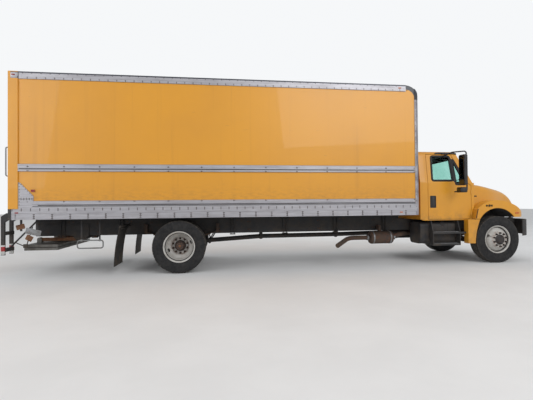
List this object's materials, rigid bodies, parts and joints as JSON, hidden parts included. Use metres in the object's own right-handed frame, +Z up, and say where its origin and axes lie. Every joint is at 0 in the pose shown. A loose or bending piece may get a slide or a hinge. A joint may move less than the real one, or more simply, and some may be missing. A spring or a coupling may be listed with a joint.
{
  "type": "box truck",
  "caption": "Two-axle box truck with a hooded cab, dry freight body, roll-up rear door and a folded liftgate; wheels, steering, doors, hood and gate move.",
  "frame": {"origin": "on the ground under the middle of the overall length and width", "axes": "+X to the front of the truck, +Y to its left, +Z up"},
  "size_m": [10.96, 2.86, 3.7699],
  "materials": {
    "bare_aluminium": "satin",
    "black_paint": "satin",
    "black_plastic": "matt",
    "clear_glass": "gloss",
    "flap_rubber": "matt",
    "galvanised": "satin",
    "grey_plastic": "matt",
    "grey_steel": "matt",
    "lamp_clear": "gloss",
    "lamp_red": "gloss",
    "seat_fabric": "matt",
    "tyre_rubber": "matt",
    "white_paint": "gloss",
    "yellow_paint": "gloss"
  },
  "bodies": {
    "chassis": {"frame_ladder": "black_paint", "front_axle_beam": "grey_steel", "leaf_springs": "grey_steel", "rear_axle": "grey_steel", "driveshaft": "grey_steel", "engine": "grey_steel", "radiator": "black_paint", "exhaust": "grey_steel", "fuel_tank": "bare_aluminium", "battery_box": "black_plastic", "cab_steps": "black_plastic", "fender_skirts": "yellow_paint", "front_bumper": "black_paint", "cab_roof": "yellow_paint", "cab_back": "yellow_paint", "cab_sides": "yellow_paint", "cab_floor": "grey_plastic", "cab_glass": "clear_glass", "dashboard": "grey_plastic", "seat_bases": "black_paint", "seats": "seat_fabric", "box_underframe": "black_paint", "box_front_wall": "yellow_paint", "box_left_wall": "yellow_paint", "box_right_wall": "yellow_paint", "box_roof": "white_paint", "box_rear_frame": "yellow_paint", "box_rear_door": "yellow_paint", "box_left_rails": "bare_aluminium", "box_right_rails": "bare_aluminium", "mud_flaps": "flap_rubber", "rear_bumper": "galvanised", "lamps": "lamp_red", "liftgate_mount": "black_paint"},
    "hood": {"hood": "yellow_paint", "grille": "black_plastic", "headlamps": "lamp_clear"},
    "door_left": {"door_left": "yellow_paint", "door_glass_left": "clear_glass", "mirror_left": "black_plastic"},
    "door_right": {"door_right": "yellow_paint", "door_glass_right": "clear_glass", "mirror_right": "black_plastic"},
    "knuckle_left": {"knuckle_left": "black_paint"},
    "knuckle_right": {"knuckle_right": "black_paint"},
    "tie_rod": {"tie_rod": "black_paint"},
    "front_left_wheel": {"front_left_tyre": "tyre_rubber", "front_left_wheel": "white_paint"},
    "front_right_wheel": {"front_right_tyre": "tyre_rubber", "front_right_wheel": "white_paint"},
    "rear_left_wheels": {"rear_left_tyres": "tyre_rubber", "rear_left_wheels": "white_paint"},
    "rear_right_wheels": {"rear_right_tyres": "tyre_rubber", "rear_right_wheels": "white_paint"},
    "liftgate_arms": {"liftgate_arms": "black_paint"},
    "liftgate_platform": {"liftgate_platform": "bare_aluminium"}
  },
  "joints": [
    {"name": "steer_left", "type": "hinge", "parent": "chassis", "child": "knuckle_left", "pos_m": [4.46, 0.83, 0.495], "axis": [0, 0, 1], "range_deg": [-38, 38]},
    {"name": "front_left_spin", "type": "hinge", "parent": "knuckle_left", "child": "front_left_wheel", "pos_m": [4.46, 1, 0.51], "axis": [0, 1, 0], "continuous": true},
    {"name": "rear_left_spin", "type": "hinge", "parent": "chassis", "child": "rear_left_wheels", "pos_m": [-2.36, 0.91, 0.51], "axis": [0, 1, 0], "continuous": true},
    {"name": "door_left_hinge", "type": "hinge", "parent": "chassis", "child": "door_left", "pos_m": [3.913, 1.012, 1.4], "axis": [0, 0, -1], "range_deg": [0, 70]},
    {"name": "steer_right", "type": "hinge", "parent": "chassis", "child": "knuckle_right", "pos_m": [4.46, -0.83, 0.495], "axis": [0, 0, 1], "range_deg": [-38, 38]},
    {"name": "front_right_spin", "type": "hinge", "parent": "knuckle_right", "child": "front_right_wheel", "pos_m": [4.46, -1, 0.51], "axis": [0, 1, 0], "continuous": true},
    {"name": "rear_right_spin", "type": "hinge", "parent": "chassis", "child": "rear_right_wheels", "pos_m": [-2.36, -0.91, 0.51], "axis": [0, 1, 0], "continuous": true},
    {"name": "door_right_hinge", "type": "hinge", "parent": "chassis", "child": "door_right", "pos_m": [3.913, -1.012, 1.4], "axis": [0, 0, 1], "range_deg": [0, 70]},
    {"name": "tie_rod_ball", "type": "hinge", "parent": "knuckle_left", "child": "tie_rod", "pos_m": [4.26, 0.83, 0.401], "axis": [0, 0, 1], "range_deg": [-38, 38]},
    {"name": "hood_hinge", "type": "hinge", "parent": "chassis", "child": "hood", "pos_m": [5.38, 0, 1], "axis": [0, 1, 0], "range_deg": [0, 70]},
    {"name": "liftgate_lift", "type": "hinge", "parent": "chassis", "child": "liftgate_arms", "pos_m": [-4.41, 0, 0.64], "axis": [0, -1, 0], "range_deg": [0, 30]},
    {"name": "liftgate_level", "type": "hinge", "parent": "liftgate_arms", "child": "liftgate_platform", "pos_m": [-5.21, 0, 0.64], "axis": [0, -1, 0], "range_deg": [-30, 0]}
  ],
  "couplings": [
    {"joint": "steer_right", "follows": "steer_left", "ratio": 1},
    {"joint": "tie_rod_ball", "follows": "steer_left", "ratio": -1},
    {"joint": "liftgate_level", "follows": "liftgate_lift", "ratio": -1}
  ]
}
